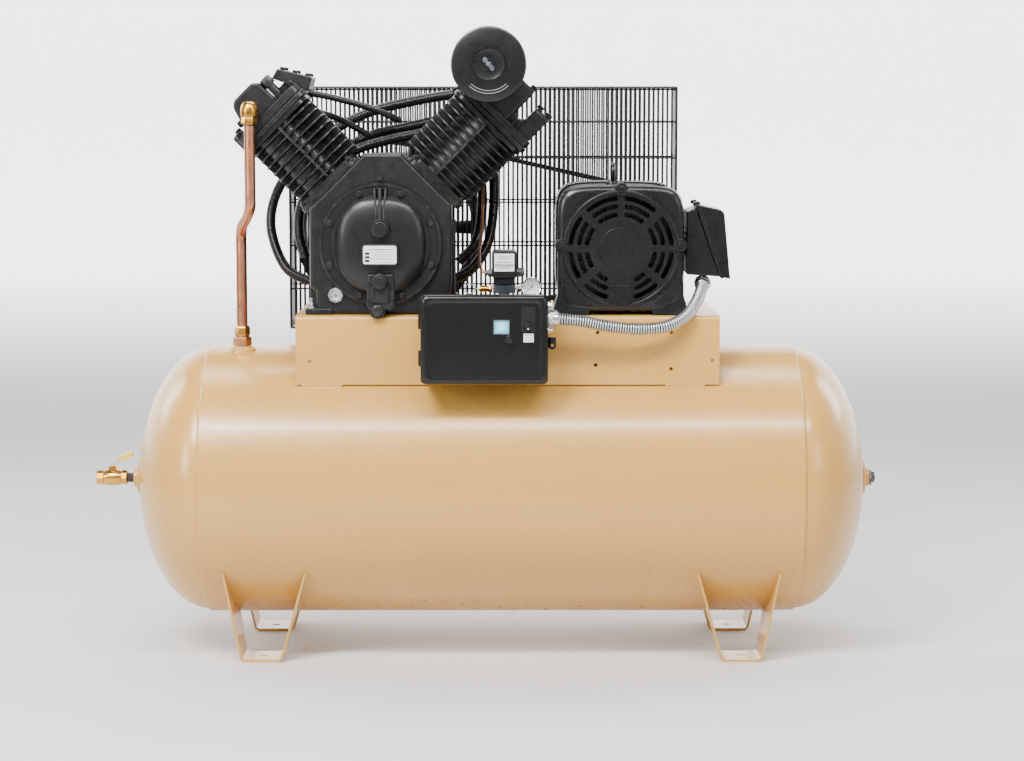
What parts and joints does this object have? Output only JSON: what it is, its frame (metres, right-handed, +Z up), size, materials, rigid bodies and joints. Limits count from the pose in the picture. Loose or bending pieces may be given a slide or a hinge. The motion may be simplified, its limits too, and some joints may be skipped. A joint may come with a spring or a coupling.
{
  "type": "two-stage air compressor",
  "caption": "V-twin two-stage reciprocating air compressor, belt driven by an electric motor behind a wire guard, mounted on a horizontal steel air receiver with feet.",
  "frame": {"origin": "centre of the whole object's footprint, on the floor under the feet", "axes": "+X along the tank towards the motor, +Y towards the belt guard at the back, +Z up"},
  "size_m": [1.7888, 0.7016, 1.409],
  "materials": {
    "tan_paint": "gloss tan enamel with a faint orange peel",
    "black_iron": "semi-gloss black paint over sand-cast texture",
    "black_paint": "semi-gloss black enamel",
    "box_paint": "smooth satin black enamel",
    "guard_wire": "black coated steel wire",
    "black_pipe": "dark oiled steel",
    "copper": "drawn copper with handling tarnish",
    "brass": "machined brass, slightly dulled",
    "zinc_steel": "bright zinc plated steel",
    "machined_steel": "turned steel with an oil film",
    "chrome_steel": "bright plated",
    "piston_alloy": "turned aluminium alloy",
    "belt_rubber": "fabric faced rubber",
    "black_plastic": "moulded plastic",
    "yellow_vinyl": "dipped vinyl",
    "filter_paper": "pleated filter paper"
  },
  "bodies": {
    "frame": {"tank_shell": "tan_paint", "tank_head_left": "tan_paint", "tank_head_right": "tan_paint", "foot_front_left": "tan_paint", "foot_front_right": "tan_paint", "foot_rear_left": "tan_paint", "foot_rear_right": "tan_paint", "base_platform": "tan_paint", "discharge_boss": "tan_paint", "outlet_nipple": "black_pipe", "pipe_plug": "black_pipe", "valve_body": "brass", "check_valve": "brass", "discharge_pipe": "copper", "discharge_elbow": "brass", "crankcase": "black_iron", "front_cover": "black_iron", "rear_bearing_cover": "black_iron", "cylinder_second": "black_iron", "cylinder_first": "black_iron", "head_second": "black_iron", "head_first": "black_iron", "oil_filler_cap": "black_plastic", "intercooler_outer": "black_paint", "intercooler_inner": "black_paint", "filter_body": "black_paint", "filter_element": "filter_paper", "filter_cover": "black_paint", "drive_belt_front": "belt_rubber", "drive_belt_rear": "belt_rubber", "guard_front": "guard_wire", "guard_rear": "guard_wire", "guard_rim": "guard_wire", "motor_frame": "black_paint", "motor_bell_front": "black_paint", "motor_bell_rear": "black_paint", "conduit_box": "black_paint", "flex_conduit": "zinc_steel", "control_box": "box_paint", "manifold": "brass", "pressure_switch": "black_plastic", "pressure_gauge": "chrome_steel", "safety_valve": "brass"},
    "crank": {"crankshaft": "machined_steel", "flywheel": "black_iron"},
    "rotor": {"motor_rotor": "machined_steel", "motor_pulley": "black_iron"},
    "second_piston": {"piston_second": "piston_alloy", "rod_second": "machined_steel"},
    "first_piston": {"piston_first": "piston_alloy", "rod_first": "machined_steel"},
    "valve_handle": {"valve_ball": "chrome_steel", "valve_lever": "zinc_steel", "valve_grip": "yellow_vinyl"},
    "door": {"control_door": "box_paint"},
    "knob": {"selector_knob": "black_plastic"},
    "button": {"reset_button": "black_plastic"},
    "needle": {"gauge_needle": "black_plastic"},
    "relief_ring": {"safety_ring": "zinc_steel"}
  },
  "joints": [
    {"name": "crank_spin", "type": "hinge", "parent": "frame", "child": "crank", "pos_m": [-0.2309, 0.2618, 0.945], "axis": [0, 1, 0], "continuous": true},
    {"name": "motor_spin", "type": "hinge", "parent": "frame", "child": "rotor", "pos_m": [0.2991, 0.2618, 0.923], "axis": [0, 1, 0], "continuous": true},
    {"name": "second_piston_stroke", "type": "slide", "parent": "frame", "child": "second_piston", "axis": [-0.7071, 0, 0.7071], "range_m": [0, 0.06]},
    {"name": "first_piston_stroke", "type": "slide", "parent": "frame", "child": "first_piston", "axis": [0.7071, 0, 0.7071], "range_m": [0, 0.06]},
    {"name": "valve_turn", "type": "hinge", "parent": "frame", "child": "valve_handle", "pos_m": [-0.8579, -0.0232, 0.385], "axis": [0, 0, 1], "range_deg": [-90, 0]},
    {"name": "door_swing", "type": "hinge", "parent": "frame", "child": "door", "pos_m": [-0.1399, -0.3232, 0.733], "axis": [0, 0, -1], "range_deg": [0, 120]},
    {"name": "selector_turn", "type": "hinge", "parent": "door", "child": "knob", "pos_m": [0.0936, -0.3412, 0.763], "axis": [0, 1, 0], "range_deg": [-45, 45]},
    {"name": "reset_press", "type": "slide", "parent": "door", "child": "button", "axis": [0, 1, 0], "range_m": [0, 0.003], "stiffness_N_per_m": 400},
    {"name": "needle_turn", "type": "hinge", "parent": "frame", "child": "needle", "pos_m": [0.1021, -0.1932, 0.837], "axis": [0, 1, 0], "range_deg": [0, 270], "stiffness_Nm_per_rad": 0.004},
    {"name": "relief_pull", "type": "slide", "parent": "frame", "child": "relief_ring", "axis": [-1, 0, 0], "range_m": [0, 0.005], "stiffness_N_per_m": 500}
  ],
  "couplings": [
    {"joint": "motor_spin", "follows": "crank_spin", "ratio": 1.748}
  ]
}
